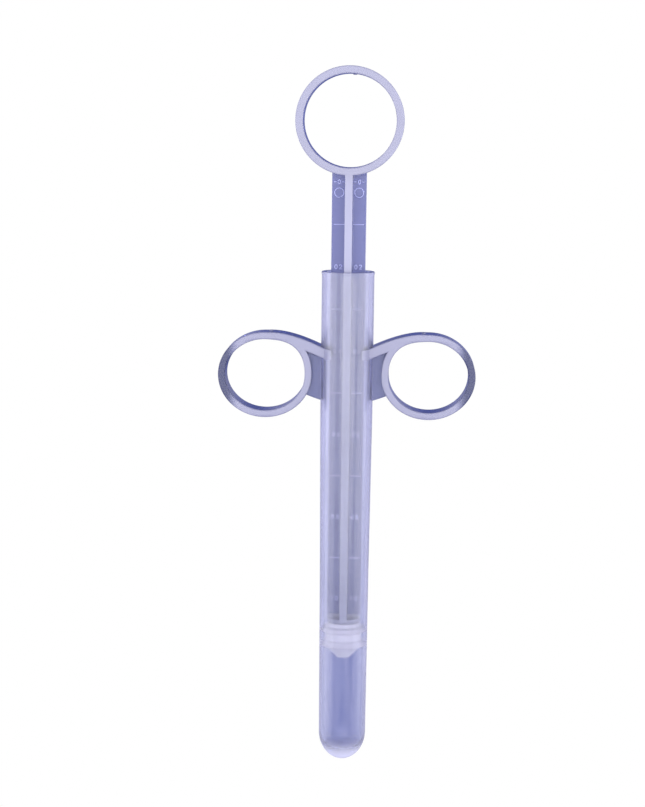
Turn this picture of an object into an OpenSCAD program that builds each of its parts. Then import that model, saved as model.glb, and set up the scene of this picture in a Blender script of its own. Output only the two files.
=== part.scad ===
// Ring-handled oral dosing syringe: a round-nosed barrel with two finger rings,
// a cross-section plunger with a thumb ring, and a two-lip piston on its head.
// The barrel's axis is +Z, the finger rings lie in the XZ plane, and the origin
// is the lowest point of the round nose. The scale faces -Y. Sizes are in mm.

/* [Barrel] */
// Length of the barrel, from the nose to the rim
barrel_len = 127; // [120:1:140]
// Diameter of the bore that the piston slides in
bore_d = 10.92; // [10.6:0.02:11]
// Outside diameter above the rounded nose
nose_od = 12; // [11.8:0.1:12.4]
// Height of the rounded nose
nose_h = 7.2; // [6.2:0.1:7.4]
// Outside diameter half way down the barrel
waist_od = 12.5; // [12.4:0.1:12.8]
// Outside diameter beside the finger rings and at the rim
grip_od = 13.25; // [13:0.05:14]
// Height at which the lower taper meets the upper one
waist_z = 50; // [40:1:60]
// Height at which the upper taper ends
grip_z = 91; // [80:1:93]
// Thickness of the closed end, on the axis
floor_t = 1.7; // [1.4:0.1:2]
// Diameter of the outlet hole in the nose
outlet_d = 2.2; // [1.6:0.1:2.6]

/* [Finger rings] */
// Distance of each ring's centre from the barrel's axis
ring_x = 20.7; // [20.5:0.1:22]
// Height of the finger rings' centres
ring_z = 100.7; // [99:0.1:108]
// Half width of a ring's opening
ring_half_w = 10.1; // [9.5:0.1:10.3]
// Half height of a ring's opening
ring_half_h = 9.05; // [8.5:0.05:10]
// How far the opening's corner beside the arm bulges
ring_bulge = 0.7; // [0:0.1:0.8]
// Thickness of the ring's band
ring_band = 1.8; // [1.6:0.1:2.2]
// Depth of the rings and arms, front to back
ring_depth = 7.1; // [6:0.1:9]
// Thickness of the web between each ring and the barrel
web_t = 1.6; // [1:0.1:3]

/* [Plunger] */
// Height of the thumb ring's centre with the plunger as stored
thumb_z = 164.7; // [160:0.1:190]
// Inside diameter of the thumb ring
thumb_id = 23.3; // [20:0.1:26]
// Outside diameter of the thumb ring
thumb_od = 27.14; // [27:0.02:30]
// Depth of the thumb ring and of the front and back ribs together
rib_span = 8.7; // [7.8:0.1:9.4]
// Thickness of the front and back ribs
rib_t = 1.9; // [1.4:0.1:2.4]
// Width across the side fins below the thumb ring
fin_top_w = 8.7; // [8.4:0.1:9.4]
// Width across the side fins above the piston
fin_low_w = 8.4; // [7.6:0.1:8.7]
// Thickness of the side fins
fin_t = 1.4; // [1:0.1:1.8]
// Diameter of the disc that backs the piston
flange_d = 8.2; // [7.6:0.1:8.8]

/* [Piston] */
// Height of the piston's flat nose with the plunger as stored
piston_z = 27.2; // [12:0.1:34]
// Radial gap between the piston's lips and the bore
lip_gap = 0.05; // [0.02:0.01:0.1]
// Diameter of the waist between the two lips
seal_waist_d = 9.4; // [8:0.1:10]
// Radial gap between the plunger's head and the piston's socket
head_gap = 0.05; // [0.02:0.01:0.1]

/* [Scale] */
// Number of steps on the scale, one millilitre each
steps = 10; // [4:1:10]
// Height of the zero mark with the plunger as stored
zero_z = 149.5; // [146:0.1:149.5]
// Length of each line on a fin
line_len = 2.7; // [1.5:0.1:2.8]
// Height of the numerals
digit_h = 1.25; // [0.8:0.05:1.6]
// Width of the moulded strokes
stroke = 0.2; // [0.15:0.05:0.3]
// How far the strokes stand out of the fin
relief = 0.12; // [0.08:0.02:0.2]

/* [Hidden] */
$fn = 96;
EPS = 0.01;

TINT = [0.68, 0.69, 0.87];
TINT_DEEP = [0.53, 0.55, 0.75];
TINT_PALE = [0.78, 0.78, 0.92];
MILKY = [0.87, 0.86, 0.93];
MARK = [0.85, 0.86, 0.96];

bore_r = bore_d / 2;
nose_r = nose_od / 2;
grip_r = grip_od / 2;
thumb_r = thumb_od / 2;
fin_y = -fin_t / 2;

// The nose is a half ellipsoid outside and a hemisphere inside; the tube starts
// above both.
bore_start = floor_t + bore_r;
tube_z = bore_start + 1;

// Piston heights above its flat nose: cone, lower lip, waist, upper lip, back.
cone_h = 2.8;
lip_low = 3.2;
lip_low_top = 4.6;
lip_high = 7.0;
lip_high_top = 8.1;
seal_back = 9.3;
nose_flat_r = 1.75;
cone_r = 4.3;
seal_back_r = 4.15;

// Socket in the piston for the plunger's mushroom head.
neck_r = 1.5;
head_r = 2.5;
head_low = 4.4;
head_top = 6.9;

// The backing disc sits on the piston's back, and the rod starts above it.
flange_z = piston_z + seal_back;
flange_t = 1.2;
rod_z = flange_z + flange_t;

// One millilitre of stroke in this bore.
pitch = 1000 / (PI * bore_r * bore_r);

// Where the arm leaves the ring, bends, and enters the barrel, from the axis
// and from the ring's centre, and the same for its underside and the web.
arm_top = [[ring_x - 2.9, 10.75], [ring_x - 6.6, 10.6], [5.2, 6.75]];
arm_under = [[5.2, 4.15], [12, 6.9]];
web_low = [[5.2, -6.8], [7.6, -6.3], [12, -4.4]];

// Radius of a finger ring's opening at angle a, with 0 pointing outwards.
function opening_r(a) =
    1 / sqrt(pow(cos(a) / ring_half_w, 2) + pow(sin(a) / ring_half_h, 2))
    + (abs(a - 138) < 45 ? ring_bulge * pow(cos(2 * (a - 138)), 2) : 0);

// Outline of a finger ring's opening, grown by grow, about the ring's centre.
function ring_outline(grow) = [
    for (a = [0 : 5 : 355]) (opening_r(a) + grow) * [cos(a), sin(a)]
];

// Points of a curve with one control point, from p[0] to p[2].
function bend(p, n = 10) = [
    for (i = [0 : n])
        let (t = i / n) pow(1 - t, 2) * p[0] + 2 * t * (1 - t) * p[1] + t * t * p[2]
];

// Outer radius of the lower barrel, which tapers up from the nose to the waist.
function lower_r(z) = nose_r + (waist_od / 2 - nose_r) * (z - nose_h) / (waist_z - nose_h);

// Points of a quarter ellipse from the nose's lowest point up to its full width.
function nose_curve(n = 14) = [
    for (i = [0 : n])
        [nose_r * sin(90 * i / n), nose_h * (1 - cos(90 * i / n))]
];

// Stands an outline drawn in XY up in the XZ plane, t thick about the midplane.
module upright(t) {
    rotate([90, 0, 0])
        linear_extrude(t, center = true)
            children();
}

// Straight-bored tube that tapers outside towards the nose.
module barrel_tube() {
    color(TINT)
        rotate_extrude()
            polygon([
                [bore_r, tube_z], [lower_r(tube_z), tube_z],
                [waist_od / 2, waist_z], [grip_r, grip_z],
                [grip_r, barrel_len], [bore_r, barrel_len]
            ]);
}

// Round closed end with the outlet hole on the axis.
module barrel_nose() {
    color(TINT)
        difference() {
            rotate_extrude()
                polygon(concat(nose_curve(), [[lower_r(tube_z), tube_z], [0, tube_z]]));
            translate([0, 0, bore_start])
                sphere(bore_r);
            translate([0, 0, bore_start])
                cylinder(h = nose_od, r = bore_r);
            translate([0, 0, -EPS])
                cylinder(h = nose_od, d = outlet_d);
        }
}

// Oval band for one finger, on the +X side.
module finger_ring() {
    translate([ring_x, 0, ring_z])
        upright(ring_depth)
            difference() {
                polygon(ring_outline(ring_band));
                polygon(ring_outline(0));
            }
}

// Arm that carries a finger ring, with the thin web below it, on the +X side.
module ring_arm() {
    difference() {
        translate([0, 0, ring_z]) {
            upright(ring_depth)
                difference() {
                    polygon(concat(bend(arm_top), arm_under));
                    translate([ring_x, 0])
                        polygon(ring_outline(ring_band));
                }
            upright(web_t)
                difference() {
                    polygon(concat(bend(web_low), [arm_under[1], arm_under[0]]));
                    translate([ring_x, 0])
                        polygon(ring_outline(ring_band));
                }
        }
        cylinder(h = barrel_len, r = grip_r);
    }
}

module finger_ring_right() {
    color(TINT_PALE)
        finger_ring();
}

module finger_ring_left() {
    color(TINT_PALE)
        mirror([1, 0, 0])
            finger_ring();
}

module ring_arm_right() {
    color(TINT_DEEP)
        ring_arm();
}

module ring_arm_left() {
    color(TINT_DEEP)
        mirror([1, 0, 0])
            ring_arm();
}

// Soft two-lip piston with a cone nose, and a socket for the plunger's head.
module piston_seal() {
    lip_r = bore_r - lip_gap;
    waist_r = seal_waist_d / 2;
    slope = 0.3;
    color(MILKY)
        translate([0, 0, piston_z])
            rotate_extrude()
                polygon([
                    [0, 0], [nose_flat_r, 0], [cone_r, cone_h],
                    [lip_r, lip_low + slope], [lip_r, lip_low_top - slope],
                    [waist_r, lip_low_top + slope], [waist_r, lip_high - slope],
                    [lip_r, lip_high + slope], [lip_r, lip_high_top - slope],
                    [cone_r, lip_high_top + slope], [seal_back_r, seal_back],
                    [neck_r + head_gap, seal_back],
                    [neck_r + head_gap, head_top + head_gap],
                    [head_r + head_gap, head_top + head_gap],
                    [head_r + head_gap, head_low - head_gap],
                    [0, head_low - head_gap]
                ]);
}

// Backing disc, neck and mushroom head that hold the piston on the rod.
module plunger_head() {
    disc_low = seal_back + head_gap;
    disc_top = seal_back + flange_t;
    tip_r = 1.6;
    tip_h = 0.9;
    color(TINT_PALE)
        translate([0, 0, piston_z])
            rotate_extrude()
                polygon([
                    [0, head_low], [tip_r, head_low], [head_r, head_low + tip_h],
                    [head_r, head_top], [neck_r, head_top], [neck_r, disc_low],
                    [flange_d / 2, disc_low], [flange_d / 2, disc_top],
                    [0, disc_top]
                ]);
}

// Cross-section rod: two side fins that carry the scale, and two thicker ribs.
module plunger_rod() {
    top_z = thumb_z - thumb_r + 2;
    color(TINT_DEEP)
        difference() {
            union() {
                upright(fin_t)
                    polygon([
                        [-fin_low_w / 2, rod_z], [fin_low_w / 2, rod_z],
                        [fin_top_w / 2, top_z], [-fin_top_w / 2, top_z]
                    ]);
                translate([-rib_t / 2, -rib_span / 2, rod_z])
                    cube([rib_t, rib_span, top_z - rod_z]);
            }
            translate([0, 0, thumb_z])
                rotate([90, 0, 0])
                    cylinder(h = rib_span + 1, r = thumb_r, center = true);
        }
}

// Round ring for the thumb, as deep as the ribs.
module thumb_ring() {
    color(TINT_PALE)
        translate([0, 0, thumb_z])
            rotate([90, 0, 0])
                difference() {
                    cylinder(h = rib_span, r = thumb_r, center = true);
                    cylinder(h = rib_span + 1, d = thumb_id, center = true);
                }
}

// One raised bar on the fins' front face, centred at [x, z].
module bar(x, z, w, h) {
    translate([x - w / 2, fin_y - relief, z - h / 2])
        cube([w, relief, h]);
}

// Middle of each fin's free width, beside the rib.
line_x = rib_t / 2 + 0.2 + line_len / 2;

// Lines of the odd steps, and the stubs on both sides of the zero.
module graduation_lines() {
    stub = (line_len - digit_h) / 2;
    color(MARK)
        for (side = [-1, 1]) {
            for (i = [1 : 2 : steps])
                bar(side * line_x, zero_z - i * pitch, line_len, stroke);
            for (end = [-1, 1])
                bar(side * line_x + end * (line_len - stub) / 2, zero_z, stub, stroke);
        }
}

// Bars of a numeral: top, upper right, lower right, bottom, lower left,
// upper left and middle, for the numerals that an even scale needs.
DIGIT_BARS = [
    [0, [1, 1, 1, 1, 1, 1, 0]],
    [1, [0, 1, 1, 0, 0, 0, 0]],
    [2, [1, 1, 0, 1, 1, 0, 1]],
    [4, [0, 1, 1, 0, 0, 1, 1]],
    [6, [1, 0, 1, 1, 1, 1, 1]],
    [8, [1, 1, 1, 1, 1, 1, 1]]
];

// Places of those bars as [x, z, upright?] in half widths and half heights.
BAR_PLACES = [
    [0, 1, 0], [1, 0.5, 1], [1, -0.5, 1], [0, -1, 0],
    [-1, -0.5, 1], [-1, 0.5, 1], [0, 0, 0]
];

module digit(value, x, z, w) {
    half_w = (w - stroke) / 2;
    half_h = (digit_h - stroke) / 2;
    bars = [for (d = DIGIT_BARS) if (d[0] == value) d[1]][0];
    for (k = [0 : 6])
        if (bars[k] == 1) {
            p = BAR_PLACES[k];
            bar(
                x + p[0] * half_w, z + p[1] * half_h,
                p[2] == 1 ? stroke : w, p[2] == 1 ? half_h + stroke : stroke
            );
        }
}

// Zero at the top, then two-figure numerals at the even steps.
module graduation_numerals() {
    digit_w = 0.85;
    step_x = 1.2;
    color(MARK)
        for (side = [-1, 1]) {
            digit(0, side * line_x, zero_z, digit_w);
            for (i = [2 : 2 : steps]) {
                z = zero_z - i * pitch;
                digit(floor(i / 10), side * line_x - step_x / 2, z, digit_w);
                digit(i % 10, side * line_x + step_x / 2, z, digit_w);
            }
        }
}

barrel_tube();
barrel_nose();
finger_ring_left();
finger_ring_right();
ring_arm_left();
ring_arm_right();
piston_seal();
plunger_rod();
plunger_head();
thumb_ring();
graduation_lines();
graduation_numerals();
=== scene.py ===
"""Looks of the ring-handled dosing syringe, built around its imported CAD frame.

Shapes are worked out in millimetres in the CAD frame (+Z along the barrel, the scale
side towards -Y) and written to Blender in metres. Each moulding of the real object is
one fused, closed mesh, so that light passes through its plastic as through one solid.
"""

from math import cos, pi, radians, sin, sqrt, tan

import bmesh
import bpy
from mathutils import Matrix, Vector

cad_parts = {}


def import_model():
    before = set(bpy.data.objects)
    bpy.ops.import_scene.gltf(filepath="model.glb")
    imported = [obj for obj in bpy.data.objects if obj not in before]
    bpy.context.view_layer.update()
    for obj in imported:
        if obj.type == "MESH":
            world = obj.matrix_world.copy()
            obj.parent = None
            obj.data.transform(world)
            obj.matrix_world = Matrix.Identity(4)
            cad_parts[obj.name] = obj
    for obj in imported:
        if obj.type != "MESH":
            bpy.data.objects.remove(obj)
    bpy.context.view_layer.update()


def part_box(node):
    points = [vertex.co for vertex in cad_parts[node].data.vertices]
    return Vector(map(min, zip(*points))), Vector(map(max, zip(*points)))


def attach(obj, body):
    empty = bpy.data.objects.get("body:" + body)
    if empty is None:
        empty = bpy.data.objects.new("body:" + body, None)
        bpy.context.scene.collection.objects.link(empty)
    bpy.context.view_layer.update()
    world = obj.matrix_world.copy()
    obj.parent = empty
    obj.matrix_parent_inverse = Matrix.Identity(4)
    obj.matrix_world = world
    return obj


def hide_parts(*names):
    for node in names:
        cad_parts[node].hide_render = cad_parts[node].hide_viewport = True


MM = 0.001
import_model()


# --- Sizes, in millimetres, from the CAD nodes ----------------------------------------

def span(node):
    """Lowest and highest corner of a CAD node, in millimetres."""
    low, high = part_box(node)
    return low / MM, high / MM


tube_high = span("barrel_tube")[1]
ring_low, ring_high = span("finger_ring_right")
thumb_low, thumb_high = span("thumb_ring")
seal_low = span("piston_seal")[0]

# Barrel: the bore, its floor and outlet, and the outside radius above the nose, at mid
# length and at the rings.
BORE_R = 5.46
FLOOR_T = 1.7
OUTLET_R = 1.1
NOSE_R, NOSE_H = 6.0, 7.2
WAIST_R, WAIST_Z = 6.25, 50.0
GRIP_R, GRIP_Z = tube_high.x, 91.0
RIM_Z = tube_high.z

# Finger rings: their centres, openings, bands and the webs beside them.
RING_Z = 100.7
RING_HALF_W, RING_HALF_H = 10.1, 9.05
RING_BULGE, BULGE_ANGLE = 0.7, 138
RING_BAND = 1.8
RING_DEPTH = ring_high.y - ring_low.y
RING_X = ring_high.x - RING_HALF_W - RING_BAND
WEB_T = 1.6
ARM_ROOT_X, WEB_ROOT_X = 5.52, 5.55

# Plunger and piston.
THUMB_Z = (thumb_low.z + thumb_high.z) / 2
THUMB_R = (thumb_high.z - thumb_low.z) / 2
THUMB_BAND = 1.92
RIB_SPAN = thumb_high.y - thumb_low.y
RIB_T = 1.9
FIN_T = 1.4
FIN_TOP_W, FIN_LOW_W = 8.7, 8.4
PISTON_Z = seal_low.z
ROD_Z = PISTON_Z + 10.5
LIP_REACH = 0.03

# Scale: one step is the length of bore that holds 1 mL.
ZERO_Z = 149.5
STEPS = 10
PITCH = 1000 / (pi * BORE_R ** 2)


# --- Mesh helpers ---------------------------------------------------------------------

def arc(centre, r, start, end, n):
    """Points of an arc in a plane, with angles in degrees, both ends included."""
    step = radians(end - start) / n
    a0 = radians(start)
    return [
        (centre[0] + r * cos(a0 + k * step), centre[1] + r * sin(a0 + k * step))
        for k in range(n + 1)
    ]


def ellipse(cx, cz, rx, rz, start=0, end=360, n=20):
    """Points of an ellipse, or of a stretch of one, both ends included."""
    return [
        (cx + rx * cos(radians(a)), cz + rz * sin(radians(a)))
        for a in (start + (end - start) * k / n for k in range(n + 1))
    ]


def rounded(points, r, n=4, closed=True, keep=()):
    """The outline with each corner rounded to radius r, except those in keep."""
    out = []
    count = len(points)
    for i, p in enumerate(points):
        if i in keep or (not closed and i in (0, count - 1)):
            out.append(tuple(p))
            continue
        here = Vector(p)
        to_prev = Vector(points[i - 1]) - here
        to_next = Vector(points[(i + 1) % count]) - here
        half = to_prev.angle(to_next) / 2
        cut = min(r / tan(half), to_prev.length * 0.45, to_next.length * 0.45)
        a, b = here + to_prev.normalized() * cut, here + to_next.normalized() * cut
        for k in range(n + 1):
            t = k / n
            out.append(tuple(a * (1 - t) ** 2 + here * 2 * t * (1 - t) + b * t ** 2))
    return out


def stepped(points, longest):
    """The open line with its long stretches cut into shorter ones."""
    out = [points[0]]
    for a, b in zip(points, points[1:]):
        n = max(1, int(Vector((b[0] - a[0], b[1] - a[1])).length / longest + 0.5))
        out += [
            (a[0] + (b[0] - a[0]) * k / n, a[1] + (b[1] - a[1]) * k / n)
            for k in range(1, n + 1)
        ]
    return out


def mesh_object(name, verts, faces):
    """A linked object in millimetres."""
    mesh = bpy.data.meshes.new(name)
    mesh.from_pydata(verts, [], faces)
    mesh.validate()
    obj = bpy.data.objects.new(name, mesh)
    bpy.context.scene.collection.objects.link(obj)
    return obj


def outward(obj):
    """Turns every face of a closed mesh to point outwards."""
    bm = bmesh.new()
    bm.from_mesh(obj.data)
    bmesh.ops.remove_doubles(bm, verts=bm.verts, dist=1e-4)
    bmesh.ops.recalc_face_normals(bm, faces=bm.faces)
    bm.to_mesh(obj.data)
    bm.free()
    return obj


def revolve(name, profile, segments=144, axis="Z"):
    """Closed solid of revolution of a closed (r, h) profile about an axis."""
    n = len(profile)
    verts = []
    for k in range(segments):
        a = 2 * pi * k / segments
        for r, h in profile:
            if axis == "Z":
                verts.append((r * cos(a), r * sin(a), h))
            else:
                verts.append((r * cos(a), h, r * sin(a)))
    faces = []
    for k in range(segments):
        m = (k + 1) % segments
        for i in range(n):
            j = (i + 1) % n
            faces.append((k * n + i, k * n + j, m * n + j, m * n + i))
    return outward(mesh_object(name, verts, faces))


def prism(name, loops, depth, edge):
    """Closed solid between y = -depth/2 and depth/2 with rounded edges, from flat
    (x, z) loops; loops inside the first one are holes."""
    curve = bpy.data.curves.new(name, "CURVE")
    curve.dimensions = "2D"
    curve.fill_mode = "BOTH"
    curve.extrude = depth / 2 - edge
    curve.bevel_depth = edge
    curve.bevel_resolution = 2
    curve.offset = -edge
    for loop in loops:
        spline = curve.splines.new("POLY")
        spline.points.add(len(loop) - 1)
        for point, (x, z) in zip(spline.points, loop):
            point.co = (x, z, 0, 1)
        spline.use_cyclic_u = True
    shape = bpy.data.objects.new(name + "_outline", curve)
    bpy.context.scene.collection.objects.link(shape)
    bpy.context.view_layer.update()
    mesh = bpy.data.meshes.new_from_object(shape.evaluated_get(
        bpy.context.evaluated_depsgraph_get()))
    bpy.data.objects.remove(shape)
    mesh.transform(Matrix.Rotation(radians(90), 4, "X"))
    obj = bpy.data.objects.new(name, mesh)
    bpy.context.scene.collection.objects.link(obj)
    return outward(obj)


def fuse(name, parts):
    """One closed mesh, in metres, from overlapping closed solids in millimetres."""
    base = parts[0]
    for other in parts[1:]:
        cut = base.modifiers.new("join", "BOOLEAN")
        cut.operation = "UNION"
        cut.solver = "MANIFOLD"
        cut.object = other
    bpy.context.view_layer.update()
    mesh = bpy.data.meshes.new_from_object(base.evaluated_get(
        bpy.context.evaluated_depsgraph_get()))
    for part in parts:
        bpy.data.objects.remove(part)
    mesh.name = name
    mesh.transform(Matrix.Scale(MM, 4))
    obj = bpy.data.objects.new(name, mesh)
    bpy.context.scene.collection.objects.link(obj)
    return obj


def finish_surface(obj, sharp=32):
    """Smooth shading that keeps flat faces flat and sharp corners sharp."""
    mesh = obj.data
    bm = bmesh.new()
    bm.from_mesh(mesh)
    bmesh.ops.dissolve_degenerate(bm, edges=bm.edges, dist=1e-7)
    bm.to_mesh(mesh)
    bm.free()
    mesh.shade_smooth()
    mesh.set_sharp_from_angle(angle=radians(sharp))
    weigh = obj.modifiers.new("weighted_normals", "WEIGHTED_NORMAL")
    weigh.keep_sharp = True
    weigh.weight = 60
    return obj


# --- Barrel moulding ------------------------------------------------------------------

def opening_radius(a):
    """Radius of a finger ring's opening at angle a in degrees, 0 pointing outwards."""
    c, s = cos(radians(a)) / RING_HALF_W, sin(radians(a)) / RING_HALF_H
    turn = a - BULGE_ANGLE
    bulge = RING_BULGE * cos(radians(2 * turn)) ** 2 if abs(turn) < 45 else 0
    return 1 / sqrt(c * c + s * s) + bulge


def ring_point(a, grow, side):
    """Point on a finger ring's outline, grown from its opening, in (x, z)."""
    r = opening_radius(a % 360) + grow
    return side * (RING_X + r * cos(radians(a))), RING_Z + r * sin(radians(a))


def bend(p, n=12):
    """Curve with one control point."""
    a, b, c = (Vector(q) for q in p)
    return [
        tuple(a * (1 - t) ** 2 + b * 2 * t * (1 - t) + c * t * t)
        for t in (k / n for k in range(n + 1))
    ]


def barrel_walls():
    """The tube with its round nose, its outlet and a softly rounded rim."""
    rim, bead = 0.25, 0.13
    outer = ellipse(0, NOSE_H, NOSE_R, NOSE_H, -90 + 10.5, 0, 26)
    outer += [(WAIST_R, WAIST_Z), (GRIP_R, GRIP_Z), (GRIP_R, RIM_Z - 0.9)]
    outer = stepped(outer, 2.5) + [(GRIP_R + bead, RIM_Z - 0.55)]
    outer += arc((GRIP_R + bead - rim, RIM_Z - rim), rim, 0, 90, 4)
    inner_rim = 0.2
    inner = arc((BORE_R + inner_rim, RIM_Z - inner_rim), inner_rim, 90, 180, 3)
    inner += stepped([inner[-1], (BORE_R, FLOOR_T + BORE_R)], 2.5)[1:]
    inner += arc((0, FLOOR_T + BORE_R), BORE_R, 0, -90 + 11.6, 26)[1:]
    return revolve("barrel_walls", outer + inner + [
        (OUTLET_R, inner[-1][1]), (OUTLET_R, outer[0][1] + 0.15)
    ])


def ring_with_arm(side):
    """A finger ring and its arm in one outline."""
    first, last = 92, -218
    start = ring_point(first, RING_BAND, 1)
    top = bend([start, (RING_X - 6.1, RING_Z + 11.3), (ARM_ROOT_X, RING_Z + 6.9)])
    top = [(side * x, z) for x, z in top[1:]]
    outer = [ring_point(a, RING_BAND, side) for a in range(first, last, -3)]
    under = [(side * 11.0, RING_Z + 6.45), (side * ARM_ROOT_X, RING_Z + 4.25)]
    opening = [ring_point(a, 0, side) for a in range(0, 360, 3)]
    return prism("ring_with_arm", [outer + under + top[::-1], opening], RING_DEPTH, 0.35)


def web(side):
    """The thin plate that fills the corner below an arm."""
    low = bend([(WEB_ROOT_X, -6.8), (7.6, -6.3), (10.6, -5.1)], 8)
    outline = [(side * x, RING_Z + z) for x, z in low]
    outline += [(side * 9.6, RING_Z), (side * 11.3, RING_Z + 7.5)]
    outline += [(side * WEB_ROOT_X, RING_Z + 5.2)]
    return prism("web", [outline], WEB_T, 0.2)


def arm_root(side, front):
    """The end of an arm's face, which runs on over the tube as a thin raised pad."""
    across, up = 8, 4
    edge_sunk, rise, under = 0.03, 0.12, 0.3
    verts = []
    for above in (True, False):
        for i in range(across + 1):
            t = i / across
            r = GRIP_R - edge_sunk + rise * min(1, 2 * t) if above else GRIP_R - under
            x = 2.8 + 3.1 * t
            low, high = 4.6 - 0.5 * t, 6.5 + 0.4 * t
            for k in range(up + 1):
                z = RING_Z + low + (high - low) * k / up
                verts.append((side * x, front * sqrt(r * r - x * x), z))
    row = up + 1
    count = row * (across + 1)
    faces = []
    for i in range(across):
        for k in range(up):
            a = i * row + k
            faces.append((a, a + 1, a + row + 1, a + row))
            faces.append(tuple(count + v for v in faces[-1]))
    edge = [i * row for i in range(across + 1)] + [across * row + k for k in range(1, row)]
    edge += [i * row + up for i in range(across - 1, -1, -1)] + list(range(up - 1, 0, -1))
    for a, b in zip(edge, edge[1:] + edge[:1]):
        faces.append((a, b, count + b, count + a))
    return outward(mesh_object("arm_root", verts, faces))


def gate_stub(x, z, up):
    """Stub left where the plastic entered the mould, standing up or hanging down."""
    outline = [(0.01, -0.4), (0.55, -0.4), (0.5, 0.3), (0.01, 0.3)]
    stub = revolve("gate_stub", rounded(outline, 0.12, keep=(0, 3)), segments=24)
    stub.data.transform(Matrix.Translation((x, 0, z)) @ Matrix.Rotation(0 if up else pi, 4, "X"))
    return stub


def barrel_moulding():
    """The tube with both rings, arms, webs and gate stubs, as one solid."""
    parts = [barrel_walls()]
    for side in (-1, 1):
        parts += [ring_with_arm(side), web(side), arm_root(side, -1), arm_root(side, 1)]
        x = side * (RING_X - 1.4)
        parts.append(gate_stub(x, RING_Z + RING_HALF_H + RING_BAND, True))
    return finish_surface(fuse("barrel_moulding", parts))


# --- Plunger moulding -----------------------------------------------------------------

def cross_section(fin_w, rib_w, rib_t, fin_t, edge=0.18, fillet=0.35):
    """Outline of the rod's cross with rounded corners, counter-clockwise."""
    fx, fy, rx, ry = fin_w / 2, fin_t / 2, rib_t / 2, rib_w / 2
    cross = [(fx, -fy), (fx, fy), (rx, fy), (rx, ry), (-rx, ry), (-rx, fy), (-fx, fy),
             (-fx, -fy), (-rx, -fy), (-rx, -ry), (rx, -ry), (rx, -fy)]
    out = []
    n = len(cross)
    for i in range(n):
        inner = i in (2, 5, 8, 11)
        corner = rounded([cross[i - 1], cross[i], cross[(i + 1) % n]],
                         fillet if inner else edge, n=3, closed=False)
        out += corner[1:-1]
    return out


def rod():
    """The cross-section rod, from inside the backing disc to inside the thumb ring."""
    low, high = ROD_Z - 0.6, THUMB_Z - THUMB_R + 1.4
    levels = 44
    verts, faces = [], []
    for k in range(levels + 1):
        t = k / levels
        z = low + (high - low) * t
        section = cross_section(FIN_LOW_W + (FIN_TOP_W - FIN_LOW_W) * t, RIB_SPAN, RIB_T, FIN_T)
        verts += [(x, y, z) for x, y in section]
    n = len(section)
    for k in range(levels):
        for i in range(n):
            j = (i + 1) % n
            faces.append((k * n + i, k * n + j, (k + 1) * n + j, (k + 1) * n + i))
    faces.append(tuple(range(n)))
    faces.append(tuple(levels * n + i for i in range(n)))
    return outward(mesh_object("rod", verts, faces))


def thumb_loop():
    """The thumb ring: a flat band with rounded edges, revolved about its own axis."""
    r0, r1, h = THUMB_R - THUMB_BAND, THUMB_R, RIB_SPAN / 2
    band = rounded([(r0, -h), (r1, -h), (r1, h), (r0, h)], 0.35, n=4)
    loop = revolve("thumb_loop", band, segments=160, axis="Y")
    loop.data.transform(Matrix.Translation((0, 0, THUMB_Z)))
    return loop


def mushroom():
    """The backing disc above the piston, and the neck and head inside it."""
    z = PISTON_Z
    outline = [(0.02, 4.4), (1.6, 4.4), (2.5, 5.3), (2.5, 6.9), (1.5, 6.9), (1.5, 9.35),
               (4.1, 9.35), (4.1, 10.5), (0.02, 10.5)]
    outline = rounded(outline, 0.25, n=3, keep=(0, 8))
    return revolve("mushroom", [(r, z + h) for r, h in outline], segments=96)


def plunger_moulding():
    """The rod with its thumb ring, backing disc and mushroom, as one solid."""
    gate = gate_stub(1.1, THUMB_Z + THUMB_R - THUMB_BAND, False)
    return finish_surface(fuse("plunger_moulding", [rod(), thumb_loop(), mushroom(), gate]))


# --- Piston ---------------------------------------------------------------------------

def piston():
    """The piston, hollow round the mushroom. Its lips reach a little into the wall, so
    that they are seen at the tube's full width."""
    lip = BORE_R + LIP_REACH
    outline = [
        (0.01, 0), (1.75, 0), (4.3, 2.8), (4.75, 3.05), (lip, 3.2), (lip, 4.6), (4.7, 4.9),
        (4.7, 6.7), (lip, 7.0), (lip, 8.1), (4.35, 8.4), (4.15, 9.3), (1.55, 9.3),
        (1.55, 6.95), (2.55, 6.95), (2.55, 5.3), (1.62, 4.35), (0.01, 4.35)
    ]
    outline = rounded(outline, 0.3, n=4, keep=(0, 17))
    body = revolve("piston", [(r, PISTON_Z + h) for r, h in outline], segments=128)
    return finish_surface(fuse("piston_stopper", [body]))


# --- Scale ----------------------------------------------------------------------------

# Strokes of each numeral in a box one unit high, centred on its middle.
NUMERALS = {
    0: [ellipse(0, 0, 0.28, 0.5)],
    1: [[(-0.18, 0.3), (0.06, 0.5), (0.06, -0.5)]],
    2: [ellipse(0, 0.22, 0.28, 0.28, 165, -35, 12) + [(-0.3, -0.5), (0.32, -0.5)]],
    4: [[(0.34, -0.18), (-0.34, -0.18), (0.14, 0.5), (0.14, -0.5)]],
    6: [ellipse(0, -0.22, 0.28, 0.28), [(-0.28, -0.2), (-0.2, 0.15), (0.14, 0.5)]],
    8: [ellipse(0, 0.25, 0.23, 0.25), ellipse(0, -0.24, 0.28, 0.26)],
}


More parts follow.
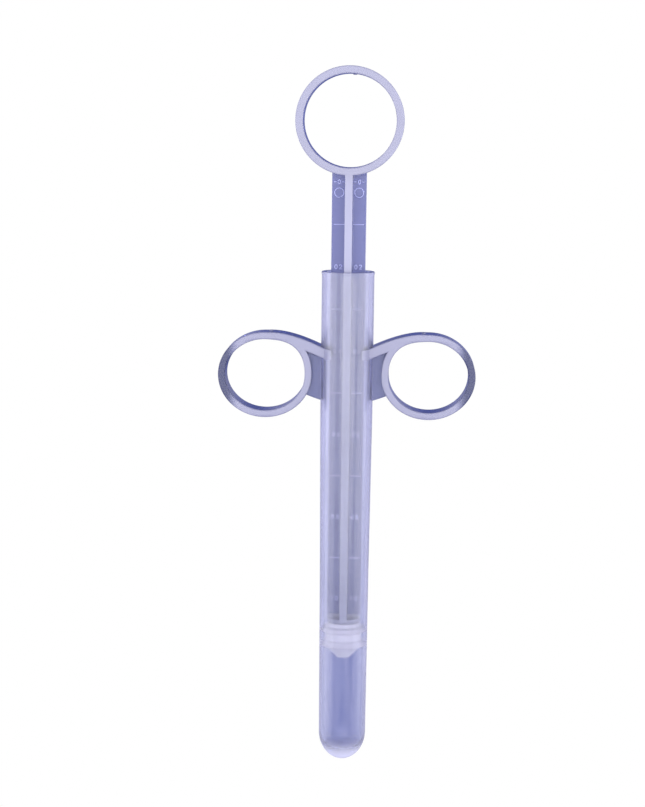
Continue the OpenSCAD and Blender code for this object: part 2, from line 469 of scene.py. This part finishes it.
def scale_strokes():
    """Centre lines of the scale's lines, numerals and circles, in (x, z)."""
    digit_h, line_len, fin_mid = 1.05, 2.7, 2.5
    strokes = []
    for side in (-1, 1):
        x0 = side * fin_mid
        for i in range(STEPS + 1):
            z = ZERO_Z - i * PITCH
            if i % 2:
                strokes.append([(x0 - line_len / 2, z), (x0 + line_len / 2, z)])
                continue
            figures = [0] if i == 0 else [i // 10, i % 10]
            for k, figure in enumerate(figures):
                x = x0 + (k - (len(figures) - 1) / 2) * 1.15
                for line in NUMERALS[figure]:
                    strokes.append([(x + px * digit_h, z + pz * digit_h) for px, pz in line])
        for end in (-1, 1):
            strokes.append([(x0 + end * 0.75, ZERO_Z), (x0 + end * 1.35, ZERO_Z)])
        strokes.append(ellipse(x0, ZERO_Z - 2.7, 1.15, 1.15, n=36))
    return strokes


def scale_marks():
    """The strokes as thin raised beads on the front of the side fins."""
    curve = bpy.data.curves.new("scale_marks", "CURVE")
    curve.dimensions = "3D"
    curve.bevel_depth = 0.1
    curve.bevel_resolution = 2
    curve.use_fill_caps = True
    for line in scale_strokes():
        spline = curve.splines.new("POLY")
        spline.points.add(len(line) - 1)
        for point, (x, z) in zip(spline.points, line):
            point.co = (x, 0, z, 1)
    shape = bpy.data.objects.new("scale_outline", curve)
    bpy.context.scene.collection.objects.link(shape)
    bpy.context.view_layer.update()
    mesh = bpy.data.meshes.new_from_object(shape.evaluated_get(
        bpy.context.evaluated_depsgraph_get()))
    bpy.data.objects.remove(shape)
    mesh.transform(Matrix.Translation((0, -FIN_T / 2, 0)) @ Matrix.Diagonal((1, 0.8, 1, 1)))
    mesh.transform(Matrix.Scale(MM, 4))
    mesh.shade_smooth()
    obj = bpy.data.objects.new("scale_marks", mesh)
    bpy.context.scene.collection.objects.link(obj)
    return obj


# --- Materials ------------------------------------------------------------------------

# Tints, and the share of the light that each zone lets through.
TUBE, TUBE_CLEAR = (0.96, 0.97, 1.0), 0.95
TUBE_TOP, TOP_CLEAR = (0.98, 0.98, 1.0), 0.86
NOSE, NOSE_CLEAR = (0.80, 0.80, 0.90), 0.25
BORE, BORE_CLEAR = (0.98, 0.99, 1.0), 1.0
GRIP, GRIP_CLEAR = (0.29, 0.31, 0.49), 0.65
# Painted light: the front and back faces of the rings and arms are milkier than the rest,
# standing in for light seen through the deep plastic.
GRIP_FACE_GLOW, GRIP_FACE_GLOW_CLEAR = (0.31, 0.31, 0.40), 0.12
# Painted shade: the rings' far ends get a dark tint and let less light through, in place of the
# shade on their outer limbs.
RING_END_SHADE, RING_END_SHADE_CLEAR = (0.07, 0.08, 0.18), 0.5
FIN, FIN_CLEAR = (0.25, 0.27, 0.52), 0.60
STOPPER, STOPPER_CLEAR = (1.0, 0.97, 1.0), 0.15
# Painted light on the ribs' and the thumb ring's front and back faces, lighter and milkier than
# the fins; the backing disc takes the rib face colour too.
RIB_FACE = (0.38, 0.38, 0.48)
THUMB_FACE_GLOW = (0.34, 0.34, 0.42)
MARK = (0.52, 0.54, 0.82)
FACE_CLEAR = 0.1

# Colour and density, per metre, of the absorption inside the plastic.
ABSORB = (0.50, 0.52, 0.86)
BARREL_DENSITY, ROD_DENSITY = 190.0, 120.0

# Where the barrel's zones begin and end, in millimetres.
NOSE_MILKY_Z, NOSE_CLEAR_Z = 0.6, 6
RIM_BAND_LOW, RIM_BAND_HIGH = RIM_Z - 6, RIM_Z - 4
# Where the painted shade on the rings' far ends starts and where it is full.
FAR_SHADE_START, FAR_SHADE_FULL = 27.0, 30.5

PLASTIC_IOR = 1.49
CLOUD_SHADE = 0.96


def node_in(nt, kind, **values):
    """A new node, with input names written with _ for spaces."""
    node = nt.nodes.new(kind)
    for name, value in values.items():
        node.inputs[name.replace("_", " ")].default_value = value
    return node


def new_material(name):
    """A material, its node tree, its Principled shader and its output node."""
    mat = bpy.data.materials.new(name)
    mat.use_nodes = True
    nt = mat.node_tree
    return mat, nt, nt.nodes["Principled BSDF"], nt.nodes["Material Output"]


def object_coords(nt):
    """Place in the object's own space, in metres."""
    return nt.nodes.new("ShaderNodeTexCoord").outputs["Object"]


def ramp(nt, value, low, high, to_low=0.0, to_high=1.0):
    """Smooth step of a value between low and high."""
    node = node_in(nt, "ShaderNodeMapRange", From_Min=low, From_Max=high,
                   To_Min=to_low, To_Max=to_high)
    node.interpolation_type = "SMOOTHSTEP"
    nt.links.new(value, node.inputs["Value"])
    return node.outputs["Result"]


def math(nt, operation, a, b=None):
    """Result of a Math node, with each input a number or a socket."""
    node = nt.nodes.new("ShaderNodeMath")
    node.operation = operation
    for socket, value in zip(node.inputs, (a, b)):
        if hasattr(value, "links"):
            nt.links.new(value, socket)
        elif value is not None:
            socket.default_value = value
    return node.outputs["Value"]


def blend_colour(nt, factor, a, b):
    """Mix of two colours, each a tuple or a socket."""
    node = nt.nodes.new("ShaderNodeMix")
    node.data_type = "RGBA"
    nt.links.new(factor, node.inputs["Factor"])
    for name, value in (("A", a), ("B", b)):
        if hasattr(value, "links"):
            nt.links.new(value, node.inputs[name])
        else:
            node.inputs[name].default_value = (*value, 1)
    return node.outputs["Result"]


def blend_value(nt, factor, a, b):
    """Mix of two numbers, each a number or a socket."""
    node = nt.nodes.new("ShaderNodeMix")
    nt.links.new(factor, node.inputs["Factor"])
    for name, value in (("A", a), ("B", b)):
        if hasattr(value, "links"):
            nt.links.new(value, node.inputs[name])
        else:
            node.inputs[name].default_value = value
    return node.outputs["Result"]


def parts_of(nt, coords):
    """The x, y and z of a point, as sockets in metres."""
    split = nt.nodes.new("ShaderNodeSeparateXYZ")
    nt.links.new(coords, split.inputs["Vector"])
    return split.outputs["X"], split.outputs["Y"], split.outputs["Z"]


def distance_from(nt, x=None, y=None, z=None):
    """Length of the vector with the given parts."""
    join = nt.nodes.new("ShaderNodeCombineXYZ")
    for name, part in (("X", x), ("Y", y), ("Z", z)):
        if part is not None:
            nt.links.new(part, join.inputs[name])
    length = nt.nodes.new("ShaderNodeVectorMath")
    length.operation = "LENGTH"
    nt.links.new(join.outputs["Vector"], length.inputs[0])
    return length.outputs["Value"]


def moulded_surface(nt, shader, coords, rough, grain):
    """Faint flow lines along the part, in the roughness and as a bump."""
    stretch = nt.nodes.new("ShaderNodeMapping")
    stretch.inputs["Scale"].default_value = (1, 1, 0.12)
    nt.links.new(coords, stretch.inputs["Vector"])
    flow = node_in(nt, "ShaderNodeTexNoise", Scale=420.0, Detail=3.0)
    nt.links.new(stretch.outputs["Vector"], flow.inputs["Vector"])
    nt.links.new(ramp(nt, flow.outputs["Fac"], 0.3, 0.7, *rough), shader.inputs["Roughness"])
    bump = node_in(nt, "ShaderNodeBump", Strength=grain, Distance=0.0004)
    nt.links.new(flow.outputs["Fac"], bump.inputs["Height"])
    nt.links.new(bump.outputs["Normal"], shader.inputs["Normal"])


def plastic(name, tint, clear, zones=None, rough=(0.12, 0.24), grain=0.03, density=0.0):
    """Tinted moulded plastic. zones names the places where the wall is another tint or
    lets through another share of the light, as (mask, tint, clear) in object space."""
    mat, nt, shader, out = new_material(name)
    coords = object_coords(nt)
    moulded_surface(nt, shader, coords, rough, grain)
    cloud = node_in(nt, "ShaderNodeTexNoise", Scale=90.0, Detail=2.0)
    nt.links.new(coords, cloud.inputs["Vector"])
    shade = ramp(nt, cloud.outputs["Fac"], 0.3, 0.7)
    colour = blend_colour(nt, shade, [c * CLOUD_SHADE for c in tint], tint)
    share = clear
    for mask, zone_tint, zone_clear in zones(nt, coords) if zones else ():
        shaded_tint = [c * CLOUD_SHADE for c in zone_tint]
        zone_colour = blend_colour(nt, shade, shaded_tint, zone_tint)
        colour = blend_colour(nt, mask, colour, zone_colour)
        share = blend_value(nt, mask, share, zone_clear)
    nt.links.new(colour, shader.inputs["Base Color"])
    if zones:
        nt.links.new(share, shader.inputs["Transmission Weight"])
    else:
        shader.inputs["Transmission Weight"].default_value = clear
    shader.inputs["IOR"].default_value = PLASTIC_IOR
    if density:
        volume = node_in(nt, "ShaderNodeVolumeAbsorption", Color=(*ABSORB, 1), Density=density)
        nt.links.new(volume.outputs["Volume"], out.inputs["Volume"])
    return mat


def painted_glow_faces(nt, y, half_depth):
    """1 on the front and back faces of a part as deep as two half depths, where painted light
    makes them milkier.
    """
    return ramp(nt, math(nt, "ABSOLUTE", y), (half_depth - 0.35) * MM, (half_depth - 0.1) * MM)


def barrel_zones(nt, coords):
    """The tube is paler and milkier towards its rim, milky in its nose and clear in its
    polished bore. Rings, arms and webs are deep in tint. The rings' far ends carry painted
    shade, darker and less clear, and the rings' and arms' front and back faces carry
    painted light, milkier than the rest."""
    x, y, z = parts_of(nt, coords)
    radius = distance_from(nt, x, y)
    towards_rim = ramp(nt, z, 0.0, RIM_Z * MM)
    floor_depth = math(nt, "MINIMUM", math(nt, "SUBTRACT", z, (FLOOR_T + BORE_R) * MM), 0.0)
    from_bore = distance_from(nt, x, y, floor_depth)
    in_bore = ramp(nt, from_bore, (BORE_R + 0.05) * MM, (BORE_R + 0.3) * MM, 1, 0)
    below_rim = ramp(nt, z, RIM_BAND_LOW * MM, RIM_BAND_HIGH * MM, 1, 0)
    on_grips = ramp(nt, radius, (GRIP_R + 0.03) * MM, (GRIP_R + 0.1) * MM)
    on_grips = math(nt, "MULTIPLY", on_grips, below_rim)
    in_nose = ramp(nt, z, NOSE_MILKY_Z * MM, NOSE_CLEAR_Z * MM, 1, 0)
    # Painted shade on the rings' far ends.
    far_end_shade = ramp(nt, math(nt, "ABSOLUTE", x), FAR_SHADE_START * MM, FAR_SHADE_FULL * MM)
    near = math(nt, "SUBTRACT", on_grips, far_end_shade)
    # Painted light on the rings' and arms' front and back faces.
    faces = math(nt, "MULTIPLY", painted_glow_faces(nt, y, RING_DEPTH / 2), near)
    return [
        (towards_rim, TUBE_TOP, TOP_CLEAR),
        (in_nose, NOSE, NOSE_CLEAR),
        (in_bore, BORE, BORE_CLEAR),
        (on_grips, GRIP, GRIP_CLEAR),
        (far_end_shade, RING_END_SHADE, RING_END_SHADE_CLEAR),
        (faces, GRIP_FACE_GLOW, GRIP_FACE_GLOW_CLEAR),
    ]


def plunger_zones(nt, coords):
    """The side fins let light through and the disc is milky, while the ribs' and the thumb
    ring's front and back faces carry painted light, milkier and lighter than the fins."""
    _, y, z = parts_of(nt, coords)
    # Painted light on the ribs' and the thumb ring's front and back faces.
    faces = painted_glow_faces(nt, y, RIB_SPAN / 2)
    loop = ramp(nt, z, (THUMB_Z - THUMB_R - 3) * MM, (THUMB_Z - THUMB_R + 1) * MM)
    disc = ramp(nt, z, (ROD_Z + 0.8) * MM, (ROD_Z + 1) * MM, 1, 0)
    return [
        (faces, RIB_FACE, FACE_CLEAR),
        (math(nt, "MULTIPLY", faces, loop), THUMB_FACE_GLOW, FACE_CLEAR),
        (disc, RIB_FACE, FACE_CLEAR),
    ]


def dress(obj, mat, body, slot, *nodes):
    """Gives a piece its material, its body and the CAD nodes it stands for; the slot is not
    used.
    """
    obj.data.materials.clear()
    obj.data.materials.append(mat)
    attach(obj, body)
    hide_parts(*nodes)


# --- The object -----------------------------------------------------------------------

barrel_plastic = plastic("barrel_plastic", TUBE, TUBE_CLEAR, barrel_zones,
                         density=BARREL_DENSITY)
rod_plastic = plastic("rod_plastic", FIN, FIN_CLEAR, plunger_zones, density=ROD_DENSITY)
stopper_plastic = plastic("stopper_plastic", STOPPER, STOPPER_CLEAR, rough=(0.3, 0.42))
mark_plastic = plastic("mark_plastic", MARK, FACE_CLEAR)

dress(barrel_moulding(), barrel_plastic, "barrel", "tinted_plastic", "barrel_tube",
      "barrel_nose", "finger_ring_left", "finger_ring_right", "ring_arm_left", "ring_arm_right")
dress(plunger_moulding(), rod_plastic, "plunger", "rod_plastic", "plunger_rod",
      "plunger_head", "thumb_ring")
dress(piston(), stopper_plastic, "piston", "piston_elastomer", "piston_seal")
dress(scale_marks(), mark_plastic, "plunger", "scale_relief", "graduation_lines",
      "graduation_numerals")


# --- Studio ---------------------------------------------------------------------------

ROOM_GLOW = (0.08, 0.11, 0.40)
SIDE_GLOW = (0.68, 0.68, 0.92)
FLOOR_Z = -0.35
AIM_HEIGHT = 0.09


def studio_glow(nt, direction):
    """White for the camera; what lights the plastic is bright at the sides and steeply
    below, and dim and bluish in front and behind."""
    unit = nt.nodes.new("ShaderNodeVectorMath")
    unit.operation = "NORMALIZE"
    nt.links.new(direction, unit.inputs[0])
    x, _, z = parts_of(nt, unit.outputs["Vector"])
    below = math(nt, "MULTIPLY", math(nt, "ADD", z, 0.4), 1.5)
    below = math(nt, "MINIMUM", below, 0.0)
    aside = distance_from(nt, x, None, below)
    glow = blend_colour(nt, ramp(nt, aside, 0.0, 0.35), ROOM_GLOW, SIDE_GLOW)
    path = nt.nodes.new("ShaderNodeLightPath")
    return blend_colour(nt, path.outputs["Is Camera Ray"], glow, (1, 1, 1))


def floor():
    """A pale floor that carries on the studio's glow below the object."""
    mesh = bpy.data.meshes.new("floor")
    bm = bmesh.new()
    bmesh.ops.create_grid(bm, x_segments=1, y_segments=1, size=3)
    bmesh.ops.translate(bm, verts=bm.verts, vec=(0, 0, FLOOR_Z))
    bm.to_mesh(mesh)
    bm.free()
    obj = bpy.data.objects.new("floor", mesh)
    bpy.context.scene.collection.objects.link(obj)
    mat, nt, shader, _ = new_material("floor_white")
    shader.inputs["Base Color"].default_value = (0, 0, 0, 1)
    shader.inputs["Specular IOR Level"].default_value = 0
    shader.inputs["Emission Strength"].default_value = 1
    nt.links.new(studio_glow(nt, object_coords(nt)), shader.inputs["Emission Color"])
    obj.data.materials.append(mat)


def softbox(name, azimuth, distance, height, size, power):
    """A soft light aimed at the object, azimuth 0 in front and 90 on its right."""
    light = bpy.data.lights.new(name, "AREA")
    light.shape = "RECTANGLE"
    light.size, light.size_y = size
    light.energy = power
    obj = bpy.data.objects.new(name, light)
    a = radians(azimuth)
    obj.location = (distance * sin(a), -distance * cos(a), height)
    aim = Vector((0, 0, AIM_HEIGHT)) - obj.location
    obj.rotation_euler = aim.to_track_quat("-Z", "Y").to_euler()
    obj.visible_camera = False
    bpy.context.scene.collection.objects.link(obj)
    return obj


def world():
    """The studio's surround."""
    studio = bpy.data.worlds.new("studio")
    bpy.context.scene.world = studio
    studio.use_nodes = True
    nt = studio.node_tree
    direction = nt.nodes.new("ShaderNodeTexCoord").outputs["Generated"]
    nt.links.new(studio_glow(nt, direction), nt.nodes["Background"].inputs["Color"])


def camera():
    """The camera at the photograph's angle: a little above the object, and a little
    to its right."""
    distance, pitch, azimuth, roll = 0.520, radians(7.9), radians(2.5), radians(0.7)
    aim_z, aside = 0.0932, -0.0061
    right = Vector((cos(azimuth), sin(azimuth), 0))
    aim = Vector((0, 0, aim_z)) + right * aside
    back = Vector((sin(azimuth) * cos(pitch), -cos(azimuth) * cos(pitch), sin(pitch)))
    data = bpy.data.cameras.new("camera")
    data.lens = 91.0
    data.sensor_width = 36.0
    data.clip_start = 0.01
    obj = bpy.data.objects.new("camera", data)
    obj.location = aim + back * distance
    turn = (-back).to_track_quat("-Z", "Y").to_matrix() @ Matrix.Rotation(roll, 3, "Z")
    obj.rotation_euler = turn.to_euler()
    bpy.context.scene.collection.objects.link(obj)
    bpy.context.scene.camera = obj


floor()
world()
# The side lights are not seen through the plastic, where they would glare.
for name, azimuth, power in (("left_box", -75, 6), ("right_box", 75, 6)):
    side_box = softbox(name, azimuth, 0.9, 0.14, (0.9, 0.9), power)
    side_box.visible_transmission = False
softbox("front_box", 5, 1.1, 0.22, (1.5, 0.9), 11.5)
camera()
bpy.context.scene.view_settings.view_transform = "Standard"

bpy.context.view_layer.update()
